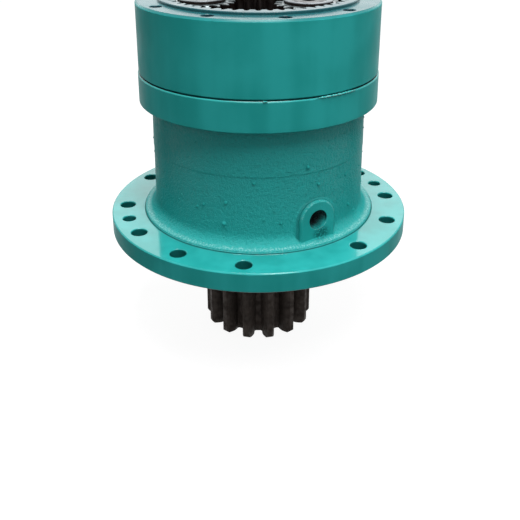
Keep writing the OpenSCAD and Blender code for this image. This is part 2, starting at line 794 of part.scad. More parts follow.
module seal_sleeve() {
    color(steel) difference() {
        bevelled_drum(sleeve_r, collar_z, lower_bearing_z, 1.5);
        disc(lower_bore_r + seat_gap, collar_z - 1, lower_bearing_z + 1);
    }
}

module nut_lock_washer() {
    color(dark_steel) difference() {
        union() {
            disc(nut_r - 6, upper_bearing_z, nut_z);
            for (k = [0:8]) rotate([0, 0, k * 40]) translate([0, -4, upper_bearing_z])
                cube([nut_r - 1, 8, lock_washer_t]);
        }
        disc(thread_r + seat_gap, upper_bearing_z - 1, nut_z + 1);
    }
}

module bearing_nut() {
    color(dark_steel) difference() {
        bevelled_drum(nut_r, nut_z, nut_z + nut_h, 1.5);
        disc(thread_r + seat_gap, nut_z - 1, nut_z + nut_h + 1);
        around(4, nut_r, 0) translate([-nut_slot_h, -nut_slot_w / 2, nut_z - 1])
            cube([2 * nut_slot_h, nut_slot_w, nut_h + 2]);
    }
}

module lower_carrier() {
    color(dark_steel) difference() {
        union() {
            bevelled_drum(hub_r, hub_foot_z, plate_foot_z + 3, 2);
            bevelled_drum(carrier_rim_r, plate_foot_z, lower_cap_z, 2.5);
        }
        around(lower_planets, centre_r, train_turn) {
            disc(planet_tip_r + 2, window_foot_z, window_top_z);
            disc(lower_pin_r + seat_gap, pin_seat_z, lower_cap_z + 1);
        }
        disc(sun_tip_r + 2, window_foot_z - 1, lower_cap_z + 1);
        disc(end_plate_r + seat_gap, shaft_end_z, window_foot_z + 1);
        translate([0, 0, hub_foot_z - 1]) linear_extrude(shaft_end_z - hub_foot_z + 2)
            gear_outline(spline_teeth, spline_pitch_r, spline_root_r + 0.5, spline_tip_r + 0.4,
                spline_press, -0.05, 0, front);
        for (k = [0:lower_planets - 1]) rotate([0, 0, front + train_turn + k * 360 / lower_planets])
            radial_drilling(roll_pin_r + seat_gap, centre_r - roll_hole_reach, carrier_rim_r + 5,
                (pin_seat_z + window_foot_z) / 2);
    }
}

module shaft_end_plate() {
    color(steel) difference() {
        bevelled_drum(end_plate_r, shaft_end_z, end_plate_z, 1);
        around(end_bolts_n, end_bolt_circle_r, 0) {
            disc(end_bolt_r + 0.9, shaft_end_z - 1, end_plate_z + 1);
            translate([0, 0, end_plate_z - 6.5])
                cylinder(r1 = end_bolt_r + 0.9, r2 = end_bolt_head_r + 0.1, h = 6.6);
        }
        disc(5, shaft_end_z - 1, end_plate_z + 1);
    }
}

module end_plate_bolts() {
    color(dark_steel) around(end_bolts_n, end_bolt_circle_r, 0) difference() {
        union() {
            translate([0, 0, end_plate_z - 6.5])
                cylinder(r1 = end_bolt_r + 0.7, r2 = end_bolt_head_r - 0.2, h = 6.4);
            disc(end_bolt_r, shaft_end_z - end_bolt_l, end_plate_z - 1);
        }
        translate([0, 0, end_plate_z - 4.5]) cylinder(r = 4.6, h = 6, $fn = 6);
    }
}

// A planet pin with an oil drilling along its axis, a cross drilling and a roll pin hole
module planet_pin(r, foot_z, top_z, oil_z, roll_z, roll_r) {
    difference() {
        bevelled_drum(r, foot_z, top_z, 1);
        disc(4, oil_z - 4, top_z + 1);
        radial_drilling(2.5, -r - 1, r + 1, oil_z);
        radial_drilling(roll_r + seat_gap, -roll_hole_reach, r + 1, roll_z);
    }
}

module lower_planet_pins() {
    color(steel) around(lower_planets, centre_r, train_turn)
        planet_pin(lower_pin_r, pin_seat_z + face_gap, lower_cap_z,
            (lower_foot_z + lower_top_z) / 2, (pin_seat_z + window_foot_z) / 2, roll_pin_r);
}

module roll_pins(n, r, from_r, to_r, z) {
    for (k = [0:n - 1]) rotate([0, 0, front + train_turn + k * 360 / n]) difference() {
        radial_drilling(r, from_r, to_r, z);
        radial_drilling(r - 1.2, from_r - 1, to_r + 1, z);
        translate([from_r - 1, -0.4, z]) cube([to_r - from_r + 2, 0.8, r + 1]);
    }
}

module lower_roll_pins() {
    color(dark_steel) roll_pins(lower_planets, roll_pin_r, centre_r - roll_pin_reach,
        carrier_rim_r - 3, (pin_seat_z + window_foot_z) / 2);
}

module lower_thrust_washers() {
    color(bronze) around(lower_planets, centre_r, train_turn) {
        washer(washer_r, lower_pin_r + 0.1, window_foot_z + face_gap, lower_foot_z - face_gap);
        washer(washer_r, lower_pin_r + 0.1, lower_top_z + face_gap, window_top_z - face_gap);
    }
}

module sun_thrust_washer() {
    color(bronze) washer(washer_r, sun_bore_r + 1, end_plate_z + face_gap,
        lower_sun_foot_z - face_gap);
}

// Planets, suns and needle rollers

// Planet k of n, with its teeth in mesh with the ring gear's
module planet(k, n, foot_z, top_z, race_r) {
    color(steel) at_turn(centre_r, train_turn + k * 360 / n) difference() {
        intersection() {
            translate([0, 0, foot_z]) linear_extrude(top_z - foot_z)
                train_outline(planet_teeth, -ring_teeth / planet_teeth * k * 360 / n);
            bevelled_drum(planet_tip_r + 0.2, foot_z, top_z, 1.6);
        }
        disc(race_r, foot_z - 1, top_z + 1);
    }
}

module needles(k, n, count, pin_r, foot_z, top_z) {
    color(steel) at_turn(centre_r, train_turn + k * 360 / n)
        around(count, pin_r + roll_gap + needle_r, 0)
            translate([0, 0, foot_z + 0.5])
                cylinder(r = needle_r, h = top_z - foot_z - 1, $fn = 24);
}

module lower_planet(k) {
    planet(k, lower_planets, lower_foot_z, lower_top_z, lower_race_r);
}

module lower_needle_set(k) {
    needles(k, lower_planets, lower_needles, lower_pin_r, lower_foot_z, lower_top_z);
}

module upper_planet(k) {
    planet(k, upper_planets, upper_foot_z, upper_top_z, upper_race_r);
}

module upper_needle_set(k) {
    needles(k, upper_planets, upper_needles, upper_pin_r, upper_foot_z, upper_top_z);
}

module lower_sun() {
    color(steel) difference() {
        intersection() {
            translate([0, 0, lower_sun_foot_z]) linear_extrude(lower_sun_top_z - lower_sun_foot_z)
                train_outline(sun_teeth, front + train_turn + sun_bevel_turn);
            bevelled_drum(sun_tip_r + 0.2, lower_sun_foot_z, lower_sun_top_z, 1);
        }
        washer(sun_tip_r + 2, sun_tip_r - 3.4, clip_groove_z, clip_groove_z + clip_t + 0.2);
        disc(sun_bore_r, lower_sun_foot_z - 1, lower_sun_top_z + 1);
    }
}

// Open retaining ring with two plier holes beside its gap
module circlip(inner_r, outer_r, lug_r, foot_z, top_z) {
    mid_r = (inner_r + outer_r) / 2;
    difference() {
        union() {
            washer(outer_r, inner_r, foot_z, top_z);
            for (side = [-1, 1]) rotate([0, 0, side * 9]) translate([mid_r, 0, 0])
                disc(lug_r, foot_z, top_z);
        }
        disc(inner_r, foot_z - 1, top_z + 1);
        translate([0, -2, foot_z - 1]) cube([outer_r + 5, 4, top_z - foot_z + 2]);
        for (side = [-1, 1]) rotate([0, 0, side * 9]) translate([mid_r, 0, 0])
            disc(0.9, foot_z - 1, top_z + 1);
    }
}

module sun_circlip() {
    color(black) circlip(sun_tip_r - 3.3, sun_tip_r + 3, 3.2, clip_groove_z + 0.1,
        clip_groove_z + 0.1 + clip_t);
}

// Round plate with three scallops between the pins, carried on the lower sun's teeth
module upper_carrier() {
    color(dark_steel) difference() {
        bevelled_drum(carrier_rim_r, upper_carrier_foot_z, upper_carrier_z, 1.5);
        translate([0, 0, upper_carrier_foot_z - 1]) linear_extrude(upper_carrier_t + 2)
            gear_outline(sun_teeth, sun_pitch_r, sun_root_r + root_round + 0.1, sun_tip_r + 0.3,
                gear_press, -0.05 + tooth_slim, 0, front + train_turn + sun_bevel_turn);
        disc(sun_tip_r + 6.5, clip_groove_z, upper_carrier_z + 1);
        around(upper_planets, centre_r, train_turn)
            disc(upper_pin_r + seat_gap, upper_carrier_foot_z - 1, upper_carrier_z + 1);
        around(upper_planets, carrier_rim_r + 10, train_turn + 180 / upper_planets)
            disc(scallop_r, upper_carrier_foot_z - 1, upper_carrier_z + 1);
        for (k = [0:upper_planets - 1]) rotate([0, 0, front + train_turn + k * 360 / upper_planets])
            radial_drilling(small_roll_pin_r + seat_gap, centre_r - roll_hole_reach, carrier_rim_r + 5,
                upper_carrier_foot_z + upper_carrier_t / 2);
    }
}

module stage_thrust_ring() {
    color(bronze) washer(sun_tip_r + 12, sun_tip_r + 3.5, lower_cap_z + face_gap,
        upper_carrier_foot_z - face_gap);
}

module upper_planet_pins() {
    color(dark_steel) around(upper_planets, centre_r, train_turn) difference() {
        planet_pin(upper_pin_r, upper_carrier_foot_z, washer_top_z - 0.6,
            (upper_foot_z + upper_top_z) / 2, upper_carrier_foot_z + upper_carrier_t / 2,
            small_roll_pin_r);
        washer(upper_pin_r + 1, upper_pin_r - 1.4, washer_top_z - 2.6, washer_top_z - 1);
        disc(9, washer_top_z - 5, washer_top_z + 1);
    }
}

module upper_roll_pins() {
    color(dark_steel) roll_pins(upper_planets, small_roll_pin_r, centre_r - roll_pin_reach,
        carrier_rim_r - 3, upper_carrier_foot_z + upper_carrier_t / 2);
}

module upper_thrust_washers() {
    color(bronze) around(upper_planets, centre_r, train_turn)
        washer(washer_r, upper_pin_r + 0.1, upper_carrier_z + face_gap, upper_foot_z - face_gap);
}

module planet_cap_washers() {
    color(steel) around(upper_planets, centre_r, train_turn) difference() {
        bevelled_drum(washer_r, upper_top_z + face_gap, washer_top_z, 0.8);
        disc(upper_pin_r + 0.1, upper_top_z - 1, washer_top_z + 1);
        disc(upper_pin_r + 3.5, washer_top_z - 2.6, washer_top_z + 1);
    }
}

module planet_pin_circlips() {
    color(black) around(upper_planets, centre_r, train_turn)
        circlip(upper_pin_r - 1.3, upper_pin_r + 2.6, 2.4, washer_top_z - 2.5, washer_top_z - 1.1);
}

module input_sun() {
    color(steel) difference() {
        union() {
            intersection() {
                translate([0, 0, input_foot_z]) linear_extrude(input_top_z - 4 - input_foot_z)
                    train_outline(sun_teeth, front + train_turn + sun_bevel_turn);
                bevelled_drum(sun_tip_r + 0.2, input_foot_z, input_top_z - 4, 1.6);
            }
            bevelled_drum(sun_root_r - 0.5, input_foot_z + 1, input_top_z, 1);
        }
        translate([0, 0, input_foot_z + 5]) linear_extrude(input_top_z - input_foot_z)
            gear_outline(input_teeth, input_pitch_r, input_minor_r, input_major_r, spline_press,
                0, 0, front);
        disc(input_minor_r - 3, input_foot_z - 1, input_top_z);
        translate([0, 0, input_top_z - 3])
            cylinder(r1 = input_minor_r, r2 = input_major_r + 1.5, h = 3.1);
    }
}

module input_thrust_washer() {
    color(bronze) washer(washer_r, sun_bore_r + 1, lower_sun_top_z + face_gap,
        input_foot_z - face_gap);
}

housing();
ring_gear();
ring_dowel_pins();
ring_face_seal();
lower_bearing_cup();
upper_bearing_cup();
seal_retainer();
retainer_bolts();
retainer_face_seal();
shaft_seal();
seal_garter_spring();
pinion_shaft();
seal_sleeve();
lower_bearing_cone();
upper_bearing_cone();
nut_lock_washer();
bearing_nut();
lower_carrier();
shaft_end_plate();
end_plate_bolts();
lower_planet_pins();
lower_roll_pins();
lower_thrust_washers();
sun_thrust_washer();
lower_bearing_cage();
lower_bearing_rollers();
upper_bearing_cage();
upper_bearing_rollers();
lower_planet(0);  // lower_planet_1
lower_planet(1);  // lower_planet_2
lower_planet(2);  // lower_planet_3
lower_planet(3);  // lower_planet_4
lower_needle_set(0);  // lower_needles_1
lower_needle_set(1);  // lower_needles_2
lower_needle_set(2);  // lower_needles_3
lower_needle_set(3);  // lower_needles_4
lower_sun();
upper_carrier();
sun_circlip();
stage_thrust_ring();
upper_planet_pins();
upper_roll_pins();
upper_thrust_washers();
planet_cap_washers();
planet_pin_circlips();
upper_planet(0);  // upper_planet_1
upper_planet(1);  // upper_planet_2
upper_planet(2);  // upper_planet_3
upper_needle_set(0);  // upper_needles_1
upper_needle_set(1);  // upper_needles_2
upper_needle_set(2);  // upper_needles_3
input_sun();
input_thrust_washer();
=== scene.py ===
# %% [markdown]
# # A swing gear reducer, dressed for a studio picture
# The reducer comes as a finished assembly: every casting, gear and bearing already has its shape
# and its place. This lesson gives those pieces their finishes and adds the small things that a
# drawing leaves out: the screw thread in the oil port, the lumps that the sand mould leaves on the
# casting, and the sealant that was pressed out of the joint.
# Everything is in metres. The shaft stands on the Z axis, and the flange's underside is level 0.

import json
import math
import random

import bmesh
import bpy
from mathutils import Matrix, Vector


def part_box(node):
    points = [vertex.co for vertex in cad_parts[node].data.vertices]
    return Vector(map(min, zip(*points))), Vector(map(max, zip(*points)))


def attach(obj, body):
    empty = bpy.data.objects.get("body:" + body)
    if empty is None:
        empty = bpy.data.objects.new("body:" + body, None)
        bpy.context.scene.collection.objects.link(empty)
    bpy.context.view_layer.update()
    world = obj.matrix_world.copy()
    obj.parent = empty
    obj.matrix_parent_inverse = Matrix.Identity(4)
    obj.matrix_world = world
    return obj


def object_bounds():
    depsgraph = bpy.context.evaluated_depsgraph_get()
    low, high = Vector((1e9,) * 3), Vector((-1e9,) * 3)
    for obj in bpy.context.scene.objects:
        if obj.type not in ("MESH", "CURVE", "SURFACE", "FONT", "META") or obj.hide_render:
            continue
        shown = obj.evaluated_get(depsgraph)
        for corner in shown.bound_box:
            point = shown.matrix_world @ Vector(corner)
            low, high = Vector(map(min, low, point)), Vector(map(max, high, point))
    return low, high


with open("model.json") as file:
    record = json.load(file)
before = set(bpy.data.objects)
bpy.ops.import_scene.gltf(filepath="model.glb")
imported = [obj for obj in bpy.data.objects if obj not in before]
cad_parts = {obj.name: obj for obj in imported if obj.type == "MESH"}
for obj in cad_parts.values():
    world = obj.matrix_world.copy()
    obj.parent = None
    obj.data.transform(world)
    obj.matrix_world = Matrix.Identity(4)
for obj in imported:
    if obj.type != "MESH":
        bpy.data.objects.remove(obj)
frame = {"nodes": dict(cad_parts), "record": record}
cad_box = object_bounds()
nodes = frame["nodes"]

# %% [markdown]
# ## Measures of the assembly
# The finishes change from place to place: rough sand casting on the neck, smooth turned faces on
# the flange, bare steel where parts meet. The levels and radii of those places are read from the
# assembly where it tells them, and the others are written here once. Turns are counted from the
# front, which is -Y, towards +X.

# %% Levels and radii
MM = 0.001
floor_z = cad_box[0][2]
seam_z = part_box("ring_gear")[0].z
register_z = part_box("ring_gear")[1].z
ring_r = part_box("ring_gear")[1].x
band_r = ring_r + 1 * MM
flange_t = 27 * MM
pad_foot_r = 168.5 * MM
pad_r = 166.3 * MM
neck_r = 150.5 * MM
band_z = 191 * MM
spigot_r = 134.2 * MM
register_r = 137 * MM
ring_top_z = register_z - 4 * MM
port_turn = math.radians(11.6)
port_z = 60.5 * MM
port_face = 155.5 * MM
port_r = 13.2 * MM
boss_half = 27.6 * MM
planet_top_z = register_z - 4.2 * MM
washer_top_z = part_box("planet_cap_washers")[1].z
print("floor", round(floor_z, 4), "seam", round(seam_z, 4), "register", round(register_z, 4))

# %% [markdown]
# ## Camera
# The picture was taken from a little above the top face, with a lens of about 50 mm. The object
# fills the upper half of the frame. The camera could look further down for that, but then the
# uprights would lean together more than they do in the picture, so the lens shift moves the frame.

# %% Camera
view_turn = math.radians(-18.75)
view_distance = 0.9896
view_height = 0.4861
view_tilt = math.radians(20.116)

camera_data = bpy.data.cameras.new("camera")
camera_data.sensor_width = 36
camera_data.lens = 50.23
camera_data.shift_x = 0.0032
camera_data.shift_y = -0.2323
camera_data.clip_start = 0.01
camera = bpy.data.objects.new("camera", camera_data)
camera.location = (view_distance * math.sin(view_turn), -view_distance * math.cos(view_turn),
                   view_height)
camera.rotation_euler = (math.pi / 2 - view_tilt, 0, view_turn)
bpy.context.scene.collection.objects.link(camera)
bpy.context.scene.camera = camera
bpy.context.scene.view_settings.view_transform = "Standard"
print("camera at", [round(c, 3) for c in camera.location])

# %% [markdown]
# ## A small language for node trees
# A finish is a tree of shader nodes. Small helpers keep each finish readable: one adds a node and
# feeds its inputs, and the others use it for arithmetic, soft steps, mixed colours and noise. Those
# return a socket, so that they can be put inside one another.

# %% Node helpers
def add(tree, kind, inputs=None, **settings):
    """Adds a node. An input that is another node's socket is linked, any other is a plain value."""
    node = tree.nodes.new(kind)
    for name, value in settings.items():
        setattr(node, name, value)
    for name, value in (inputs or {}).items():
        if isinstance(value, bpy.types.NodeSocket):
            tree.links.new(value, node.inputs[name])
        else:
            node.inputs[name].default_value = value
    return node


def maths(tree, operation, a, b=0.0):
    return add(tree, "ShaderNodeMath", {0: a, 1: b}, operation=operation).outputs[0]


def ramp(tree, value, low, high, to_low=0.0, to_high=1.0):
    """Goes from to_low to to_high as value goes from low to high, with soft ends."""
    return add(tree, "ShaderNodeMapRange", {
        "Value": value, "From Min": low, "From Max": high, "To Min": to_low, "To Max": to_high,
    }, interpolation_type="SMOOTHSTEP").outputs[0]


def blend(tree, factor, a, b):
    """Mixes two colours."""
    return add(tree, "ShaderNodeMix", {0: factor, 6: a, 7: b}, data_type="RGBA").outputs[2]


def noise(tree, place, scale, detail=3.0, roughness=0.5):
    return add(tree, "ShaderNodeTexNoise", {
        "Vector": place, "Scale": scale, "Detail": detail, "Roughness": roughness,
    }).outputs["Fac"]


def rgb(r, g, b):
    """A colour given as it looks on screen, turned into the linear one that shaders take."""
    def linear(c):
        c = c / 255
        return c / 12.92 if c <= 0.04045 else ((c + 0.055) / 1.055) ** 2.4
    return (linear(r), linear(g), linear(b), 1.0)


print("white is", rgb(255, 255, 255))

# %% [markdown]
# ## Where on the piece
# Both castings are round about the Z axis, so a place on them is told best by its radius and its
# height. Places are counted in the piece's own frame. Counted in the world, the finish would slide
# over a gear as it turns.

# %% Places and steps
def start_material(name):
    """A new material with its tree, its shader and the surface's place in the object's frame."""
    material = bpy.data.materials.new(name)
    material.use_nodes = True
    tree = material.node_tree
    shader = tree.nodes["Principled BSDF"]
    place = add(tree, "ShaderNodeTexCoord").outputs["Object"]
    return material, tree, shader, place


def cylinder_place(tree, place):
    """Radius from the shaft's axis and height, both in metres."""
    parts = add(tree, "ShaderNodeSeparateXYZ", {0: place})
    across = maths(tree, "ADD", maths(tree, "POWER", parts.outputs[0], 2.0),
                   maths(tree, "POWER", parts.outputs[1], 2.0))
    return maths(tree, "SQRT", across), parts.outputs[2]


def inside(tree, value, low, high, soft=0.0004):
    """1 where value lies between low and high, 0 elsewhere."""
    return maths(tree, "MULTIPLY", ramp(tree, value, low - soft, low + soft),
                 ramp(tree, value, high - soft, high + soft, 1.0, 0.0))


def bump(tree, height, distance, strength=1.0, normal=None):
    inputs = {"Height": height, "Distance": distance, "Strength": strength}
    if normal is not None:
        inputs["Normal"] = normal
    return add(tree, "ShaderNodeBump", inputs).outputs[0]


print("materials so far", len(bpy.data.materials))

# %% [markdown]
# ## Teal enamel
# Housing and ring gear were sprayed together after assembly. On turned faces the enamel is smooth,
# and glossiest where it could flow level, on the flat tops. On the neck it follows the sand casting
# under it, so that it shows the grains of the mould as a fine orange peel. Grooves, holes and the
# neck under the band get painted shade, and iron stays bare where another part seats. Two castings
# share the recipe, so it takes masks from 0 to 1 that say where these zones lie, and a function for
# each casting makes them.

# %% Colours and masks
TEAL = rgb(49, 177, 174)
TEAL_DEEP = rgb(37, 160, 156)
# Pale teal painted on as highlight, where glints of light fall.
TEAL_PAINTED_GLINT = rgb(170, 226, 224)
# Dark teal for pits, dirt, and painted shade in grooves, holes, the joint and under the band.
DIRT_SHADE_AND_PITS = rgb(8, 70, 68)
# Bluish dark for the ring's top film, and painted shade at its foot, bolt holes and register.
RING_FILM_AND_SHADE = rgb(28, 66, 76)
BARE = rgb(74, 106, 112)
# Dark oil colour, also used as painted shade inside the bores and the gearbox.
OILED_AND_SHADED = rgb(26, 17, 14)


def scaled(tree, value, factor):
    return maths(tree, "MULTIPLY", value, factor)


def most(tree, *masks):
    """The largest of several masks."""
    result = masks[0]
    for mask in masks[1:]:
        result = maths(tree, "MAXIMUM", result, mask)
    return result


def where_all(tree, *masks):
    """The product of several masks: it is 1 where all of them are."""
    result = masks[0]
    for mask in masks[1:]:
        result = maths(tree, "MULTIPLY", result, mask)
    return result


def mixed(tree, factor, a, b):
    """Goes from the number a to the number b as factor goes from 0 to 1."""
    return add(tree, "ShaderNodeMix", {0: factor, 2: a, 3: b}).outputs[0]


def below(tree, value, level, soft):
    """1 up to the level, and 0 from a soft step above it."""
    return ramp(tree, value, level, level + soft, 1.0, 0.0)


print("teal", [round(c, 3) for c in TEAL[:3]])

# %% [markdown]
# ## Colour of the enamel
# Sprayed paint is never one colour. Clouds and upright streaks keep it from looking even, pale
# specks are painted highlight where glints of light fall on rough and rounded places, and pits are
# darker. An image could hold all of that, but noise needs no unwrapping and stays sharp in a close
# view. The noise scales say how many grains, pits or specks fit in a metre.

# %% Enamel colour
GRAINS, SPECKS, PITS, PEEL_WAVES = 620, 420, 230, 150
STAINS, STREAKS, SMEARS, CLOUDS = 70, 34, 30, 14
STREAK_STRETCH = (1, 1, 0.08)
CASTING_TINT = 0.8
PAINTED_GLINT_SHARE = 0.62
PIT_SHARE = 0.12


def enamel_colour(tree, place, zones, pits, dirt_and_shade_colour):
    """Clouded teal with pale specks of painted highlight, dark pits, dirt and painted shade, and
    bare metal over it where parts seat.
    """
    upright = add(tree, "ShaderNodeMapping", {"Vector": place, "Scale": STREAK_STRETCH}).outputs[0]
    cloud = maths(tree, "ADD", scaled(tree, noise(tree, place, CLOUDS, 3), 0.5),
                  scaled(tree, noise(tree, upright, STREAKS, 2), 0.5))
    tint = most(tree, ramp(tree, cloud, 0.35, 0.65), scaled(tree, zones["casting"], CASTING_TINT))
    colour = blend(tree, tint, TEAL_DEEP, TEAL)
    # Pale specks of painted highlight on the fillet, the boss's rim, the bead and the port's mouth.
    glint_specks = ramp(tree, noise(tree, place, SPECKS, 3, 0.7), 0.48, 0.6, 0.0, PAINTED_GLINT_SHARE)
    colour = blend(tree, where_all(tree, zones["sheen"], glint_specks), colour, TEAL_PAINTED_GLINT)
    pitted = where_all(tree, zones["casting"], ramp(tree, pits, 0.32, 0.44, PIT_SHARE, 0.0))
    # Pits, dirt and painted shade all take the dark colour.
    colour = blend(tree, most(tree, pitted, zones["dirt_and_painted_shade"]), colour, dirt_and_shade_colour)
    stain = ramp(tree, noise(tree, place, STAINS, 4), 0.3, 0.7, 0.75, 1.0)
    # Bare metal: dark for oil and painted shade inside, lighter where it is clean.
    metal = blend(tree, where_all(tree, zones["clean"], stain), OILED_AND_SHADED, BARE)
    return blend(tree, zones["bare"], colour, metal)


print("specks in a metre", SPECKS, "pits", PITS)

# %% [markdown]
# ## Gloss and relief of the enamel
# The flat tops mirror the room sharply, and the casting only blurs it. Any glossy surface mirrors
# more and more towards its outline, and in a white room that is more than the picture shows, so
# Layer Weight takes some gloss back there. The grains are a bump, since they are finer than a mesh
# should be. A bevel node rounds the edges for the light alone and leaves the assembly's shape.

# %% Enamel gloss and relief
SIDE_ROUGH, LEVEL_ROUGH, CASTING_ROUGH = 0.36, 0.13, 0.32
LEVEL_GLOSS, SHEEN_GLOSS, EVEN_GLOSS = 0.44, 0.35, 0.2
BARE_METALLIC = 0.8
EDGE_R, CASTING_EDGE_R, SHOULDER_EDGE_R = 0.7 * MM, 1.4 * MM, 2.2 * MM
CASTING_RELIEF, PIT_RELIEF, PEEL_RELIEF = 1.1, 1.8, 0.04
RELIEF_DEPTH = 0.8 * MM


def enamel_rough(tree, place, zones):
    smear = ramp(tree, noise(tree, place, SMEARS, 3), 0.3, 0.7, -0.04, 0.04)
    rough = mixed(tree, zones["level"], SIDE_ROUGH, LEVEL_ROUGH)
    rough = mixed(tree, most(tree, zones["casting"], zones["bare"]), rough, CASTING_ROUGH)
    return maths(tree, "ADD", rough, smear)


def enamel_gloss(tree, zones):
    facing = add(tree, "ShaderNodeLayerWeight", {"Blend": 0.5}).outputs["Facing"]
    casting_gloss = most(tree, ramp(tree, facing, 0.2, 0.6, 0.14, 0.01),
                         scaled(tree, zones["sheen"], SHEEN_GLOSS))
    side_gloss = ramp(tree, facing, 0.2, 0.65, 0.06, 0.02)
    smooth_gloss = mixed(tree, zones["level"], side_gloss, LEVEL_GLOSS)
    return mixed(tree, zones["casting"], smooth_gloss, casting_gloss)


def enamel_normal(tree, place, zones, pits):
    """Grains and pits on the casting, a faint peel elsewhere, and edges rounded for the light."""
    grain = noise(tree, place, GRAINS, 2, 0.6)
    skin = maths(tree, "ADD", grain, scaled(tree, pits, PIT_RELIEF))
    rough_skin = scaled(tree, where_all(tree, skin, zones["casting"]), CASTING_RELIEF)
    peel = scaled(tree, noise(tree, place, PEEL_WAVES, 1), PEEL_RELIEF)
    rim = most(tree, mixed(tree, zones["casting"], EDGE_R, CASTING_EDGE_R),
               scaled(tree, zones["shoulder"], SHOULDER_EDGE_R))
    rounded = add(tree, "ShaderNodeBevel", {"Radius": rim}, samples=6).outputs[0]
    return bump(tree, maths(tree, "ADD", rough_skin, peel), RELIEF_DEPTH, 1.0, rounded)


def painted_iron(name, find_zones, dirt_and_shade_colour):
    material, tree, shader, place = start_material(name)
    radius, height = cylinder_place(tree, place)
    zones = find_zones(tree, place, radius, height)
    pits = noise(tree, place, PITS, 3, 0.65)
    colour = enamel_colour(tree, place, zones, pits, dirt_and_shade_colour)
    tree.links.new(colour, shader.inputs["Base Color"])
    tree.links.new(scaled(tree, zones["bare"], BARE_METALLIC), shader.inputs["Metallic"])
    tree.links.new(enamel_rough(tree, place, zones), shader.inputs["Roughness"])
    shader.inputs["Specular IOR Level"].default_value = EVEN_GLOSS
    tree.links.new(enamel_gloss(tree, zones), shader.inputs["Specular IOR Level"])
    tree.links.new(enamel_normal(tree, place, zones, pits), shader.inputs["Normal"])
    return material


print("gloss on level faces", LEVEL_GLOSS, "and on castings with a sheen", SHEEN_GLOSS)

# %% [markdown]
# ## The oil port's boss
# The port is a tapped hole in a small arched boss. Its masks need to know where a place lies as
# seen along the port's axis: how far to the side of it, and how far above it. The back of the
# housing has the same values there, so every mask of the port is kept to the front.
# The boss is smoother than the neck, with a painted highlight and more gloss along its arch, and
# painted shade at its root, stronger on its left. Under the hole a patch is painted darker. Some
# paint got into the lower side of the hole, which is also painted lighter as the side that the
# light falls on, and the lower edge of its mouth gets a painted highlight.

# %% Masks around the oil port
DARK_PATCH_PLACE = (4.5 * MM, -20.5 * MM)
DARK_PATCH_SQUASH = 0.8
CHIPS = 500


def port_place(tree, place):
    """How far a place lies to the side of the port's axis, how far above it, and a front mask."""
    parts = add(tree, "ShaderNodeSeparateXYZ", {0: place})
    across = maths(tree, "ADD", scaled(tree, parts.outputs[0], math.cos(port_turn)),
                   scaled(tree, parts.outputs[1], math.sin(port_turn)))
    rise = maths(tree, "SUBTRACT", parts.outputs[2], port_z)
    in_front = below(tree, parts.outputs[1], -50 * MM, 10 * MM)
    return across, rise, in_front


def distance(tree, across, rise, centre_across=0.0, centre_rise=0.0):
    across = maths(tree, "SUBTRACT", across, centre_across)
    rise = maths(tree, "SUBTRACT", rise, centre_rise)
    return maths(tree, "SQRT", maths(tree, "ADD", maths(tree, "POWER", across, 2.0),
                                     maths(tree, "POWER", rise, 2.0)))


def boss_zones(tree, place, radius):
    across, rise, in_front = port_place(tree, place)
    arch = distance(tree, across, most(tree, rise, 0.0))
    on_boss = where_all(tree, below(tree, arch, boss_half, 1 * MM),
                        inside(tree, radius, neck_r + 1.2 * MM, neck_r + 7.5 * MM), in_front)
    # Painted highlight, with more gloss, along the upper part of the boss's arch.
    boss_rim_highlight = where_all(tree, inside(tree, arch, boss_half - 2.9 * MM, boss_half - 0.4 * MM),
                         on_boss, ramp(tree, rise, 0.0, 10 * MM, 0.0, 0.4))
    off_boss = ramp(tree, arch, boss_half + 6 * MM, boss_half + 7 * MM)
    root = inside(tree, arch, boss_half - 0.5 * MM, boss_half + 3 * MM, 1 * MM)
    # Painted shade at the boss's root, stronger on its left side.
    root_shade_line = where_all(tree, root, in_front, ramp(tree, rise, -28 * MM, -22 * MM),
                          ramp(tree, across, -20 * MM, 20 * MM, 0.4, 0.15))
    # A patch under the hole, painted darker.
    from_dark_patch = distance(tree, scaled(tree, across, DARK_PATCH_SQUASH), rise, *DARK_PATCH_PLACE)
    dark_patch = where_all(tree, ramp(tree, from_dark_patch, 4 * MM, 14 * MM, 0.75, 0.0),
                     ramp(tree, noise(tree, place, SPECKS, 2), 0.3, 0.55),
                     in_front, ramp(tree, rise, -31 * MM, -26 * MM))
    return {"on_boss": on_boss, "rim": boss_rim_highlight, "off_boss": off_boss,
            "dirt_and_painted_shade": most(tree, dark_patch, root_shade_line)}


def hole_zones(tree, place, radius):
    across, rise, in_front = port_place(tree, place)
    from_port = distance(tree, across, rise)
    # The lower side of the bore near its mouth is teal: paint that got in, and painted lighter as
    # its lit side.
    lit_low_side = ramp(tree, maths(tree, "SUBTRACT", scaled(tree, across, 0.5), rise), 0.0, 15 * MM)
    near_mouth = ramp(tree, radius, port_face - 20 * MM, port_face - 4 * MM)
    overspray_and_lit_side = where_all(tree, scaled(tree, lit_low_side, 0.85), near_mouth)
    wall = where_all(tree, below(tree, from_port, port_r + 0.2 * MM, 0.4 * MM), in_front,
                     ramp(tree, overspray_and_lit_side, 0.0, 1.0, 1.0, 0.0))
    chips = ramp(tree, noise(tree, place, CHIPS, 2), 0.3, 0.7, 0.1, 0.6)
    # Painted highlight, with more gloss, on the lower edge of the mouth.
    rim = where_all(tree, inside(tree, from_port, port_r + 0.4 * MM, port_r + 1.2 * MM, 0.3 * MM),
                    in_front, lit_low_side)
    return {"wall": wall, "clean": where_all(tree, wall, chips), "rim": scaled(tree, rim, 0.8)}


print("port at", round(math.degrees(port_turn), 1), "degrees, height", port_z)

